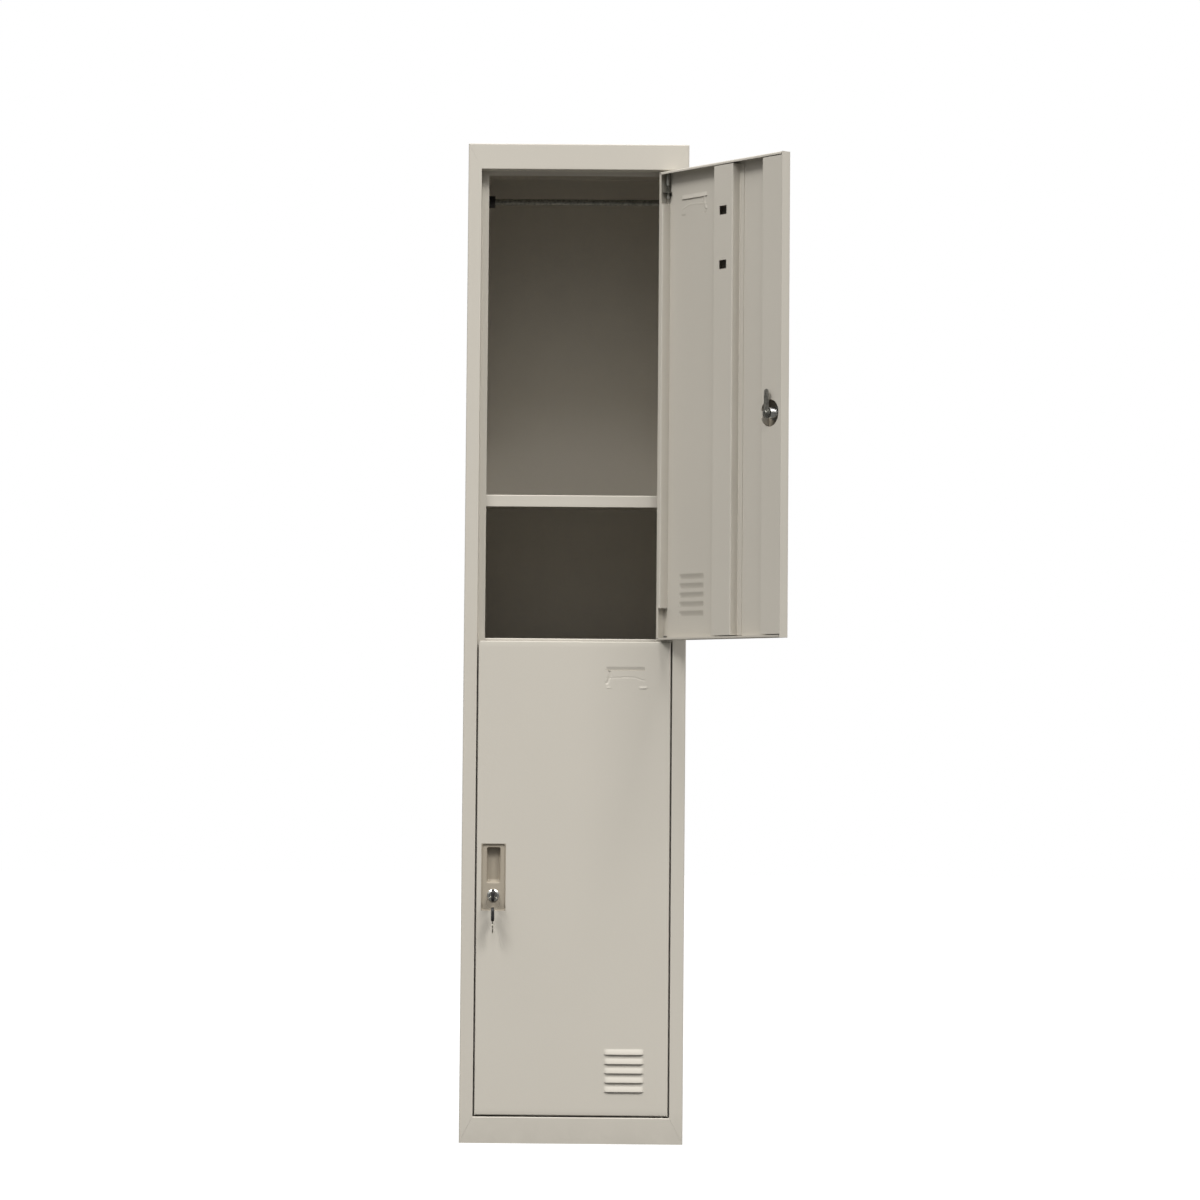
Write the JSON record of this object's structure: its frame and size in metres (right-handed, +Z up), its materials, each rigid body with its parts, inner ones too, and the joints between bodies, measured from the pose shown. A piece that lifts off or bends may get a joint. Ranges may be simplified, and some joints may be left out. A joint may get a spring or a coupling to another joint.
{
  "type": "two-tier school locker",
  "caption": "Free-standing two-tier steel locker with hinged doors, shelves, hanging rods, recessed handles and keyed cam locks.",
  "frame": {"origin": "on the floor, at the middle of the cabinet's footprint", "axes": "+Z up, -Y out of the front (the doors' side), +X to the right seen from the front, where the hinges are"},
  "size_m": [0.5726, 0.7172, 1.8],
  "materials": {
    "powder_coated_steel": "fine satin powder coat, warm light grey",
    "handle_insert": "pressed steel insert, powder coated a shade darker",
    "lock_chrome": "bright chrome plate",
    "zinc_plate": "dull zinc plate",
    "spring_steel": "oiled spring wire",
    "black_plastic": "moulded, fine matt texture",
    "key_nickel": "nickel plate, worn satin"
  },
  "bodies": {
    "cabinet": {"left_side_panel": "powder_coated_steel", "right_side_panel": "powder_coated_steel", "back_panel": "powder_coated_steel", "top_panel": "powder_coated_steel", "base_rail": "powder_coated_steel", "base_frame": "powder_coated_steel", "left_door_stop": "powder_coated_steel", "right_door_stop": "powder_coated_steel", "compartment_floor": "powder_coated_steel", "bottom_panel": "powder_coated_steel", "middle_hinge_bracket": "powder_coated_steel", "middle_pivot_stud": "zinc_plate", "upper_shelf": "powder_coated_steel", "lower_shelf": "powder_coated_steel", "upper_shelf_clips": "zinc_plate", "lower_shelf_clips": "zinc_plate", "upper_rod": "zinc_plate", "lower_rod": "zinc_plate", "upper_rod_sockets": "black_plastic", "lower_rod_sockets": "black_plastic"},
    "upper_door": {"upper_door_skin": "powder_coated_steel", "upper_door_stiffener": "powder_coated_steel", "upper_lock_channel": "powder_coated_steel", "upper_handle_plate": "handle_insert", "upper_lock_barrel": "lock_chrome", "upper_lock_nut": "zinc_plate", "upper_pin_bracket": "zinc_plate", "upper_hinge_spring": "spring_steel"},
    "upper_lock": {"upper_lock_plug": "lock_chrome", "upper_lock_cam": "zinc_plate", "upper_cam_screw": "zinc_plate"},
    "upper_pin": {"upper_hinge_pin": "zinc_plate"},
    "lower_door": {"lower_door_skin": "powder_coated_steel", "lower_door_stiffener": "powder_coated_steel", "lower_lock_channel": "powder_coated_steel", "lower_handle_plate": "handle_insert", "lower_lock_barrel": "lock_chrome", "lower_lock_nut": "zinc_plate", "lower_pin_bracket": "zinc_plate", "lower_hinge_spring": "spring_steel"},
    "lower_lock": {"lower_lock_plug": "lock_chrome", "lower_lock_cam": "zinc_plate", "lower_cam_screw": "zinc_plate"},
    "lower_pin": {"lower_hinge_pin": "zinc_plate"},
    "key": {"key_bow": "black_plastic", "key_blade": "key_nickel"},
    "ring": {"key_ring": "key_nickel"},
    "spare_key": {"spare_key_bow": "black_plastic", "spare_key_blade": "key_nickel"}
  },
  "joints": [
    {"name": "upper_door_hinge", "type": "hinge", "parent": "cabinet", "child": "upper_door", "pos_m": [0.1625, -0.2195, 1.32575], "axis": [0, 0, 1], "range_deg": [-128, 1]},
    {"name": "lower_door_hinge", "type": "hinge", "parent": "cabinet", "child": "lower_door", "pos_m": [0.1625, -0.2195, 0.47425], "axis": [0, 0, 1], "range_deg": [0, 128]},
    {"name": "upper_lock_turn", "type": "hinge", "parent": "upper_door", "child": "upper_lock", "pos_m": [0.33491, -0.47185, 1.29325], "axis": [0.788, 0.6157, 0], "range_deg": [0, 90]},
    {"name": "lower_lock_turn", "type": "hinge", "parent": "lower_door", "child": "lower_lock", "pos_m": [-0.1425, -0.2, 0.44175], "axis": [0, -1, 0], "range_deg": [0, 90]},
    {"name": "upper_pin_slide", "type": "slide", "parent": "upper_door", "child": "upper_pin", "axis": [0, 0, -1], "range_m": [0, 0.0075], "stiffness_N_per_m": 600, "springref_m": -0.01, "deforming": ["upper_hinge_spring"]},
    {"name": "lower_pin_slide", "type": "slide", "parent": "lower_door", "child": "lower_pin", "axis": [0, 0, 1], "range_m": [0, 0.0075], "stiffness_N_per_m": 600, "springref_m": -0.01, "deforming": ["lower_hinge_spring"]},
    {"name": "key_draw", "type": "slide", "parent": "lower_lock", "child": "key", "axis": [0, -1, 0], "range_m": [0, 0.024]},
    {"name": "ring_swing", "type": "hinge", "parent": "key", "child": "ring", "pos_m": [-0.1425, -0.2457, 0.43985], "axis": [1, 0, 0], "range_deg": [-70, 10]},
    {"name": "spare_key_swing", "type": "hinge", "parent": "ring", "child": "spare_key", "pos_m": [-0.1425, -0.2457, 0.41735], "axis": [1, 0, 0], "range_deg": [-60, 5]}
  ]
}
